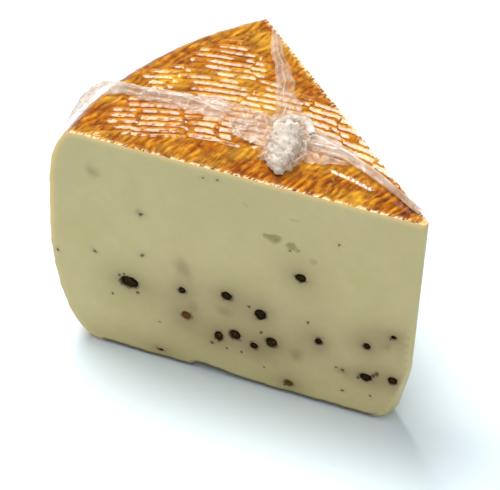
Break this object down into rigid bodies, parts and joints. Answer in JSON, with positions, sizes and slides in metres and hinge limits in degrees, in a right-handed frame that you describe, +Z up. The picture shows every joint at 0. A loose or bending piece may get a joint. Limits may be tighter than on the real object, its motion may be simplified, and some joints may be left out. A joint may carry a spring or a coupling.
{
  "type": "cheese wedge",
  "caption": "Wedge cut from a round pepper cheese with a moulded, ribbed rind, wrapped in clear film that is gathered in a bunch on top.",
  "frame": {"origin": "centre of the footprint of the wedge, on the plane it rests on", "axes": "+Z up; +X from the rim to the tip along the front cut; the front cut faces -Y"},
  "size_m": [0.1184, 0.0848, 0.0873],
  "materials": {
    "cheese": "satin",
    "peppercorn": "matte",
    "film": "gloss"
  },
  "bodies": {
    "root": {"cheese_wedge": "cheese", "cling_film": "film", "peppercorn_back_01": "peppercorn", "peppercorn_back_02": "peppercorn", "peppercorn_back_03": "peppercorn", "peppercorn_back_04": "peppercorn", "peppercorn_back_05": "peppercorn", "peppercorn_back_06": "peppercorn", "peppercorn_back_07": "peppercorn", "peppercorn_back_08": "peppercorn", "peppercorn_back_09": "peppercorn", "peppercorn_back_10": "peppercorn", "peppercorn_back_11": "peppercorn", "peppercorn_back_12": "peppercorn", "peppercorn_back_13": "peppercorn", "peppercorn_back_14": "peppercorn", "peppercorn_front_01": "peppercorn", "peppercorn_front_02": "peppercorn", "peppercorn_front_03": "peppercorn", "peppercorn_front_04": "peppercorn", "peppercorn_front_05": "peppercorn", "peppercorn_front_06": "peppercorn", "peppercorn_front_07": "peppercorn", "peppercorn_front_08": "peppercorn", "peppercorn_front_09": "peppercorn", "peppercorn_front_10": "peppercorn", "peppercorn_front_11": "peppercorn", "peppercorn_front_12": "peppercorn", "peppercorn_front_13": "peppercorn", "peppercorn_front_14": "peppercorn", "peppercorn_front_15": "peppercorn", "peppercorn_front_16": "peppercorn", "peppercorn_front_17": "peppercorn"}
  },
  "joints": []
}
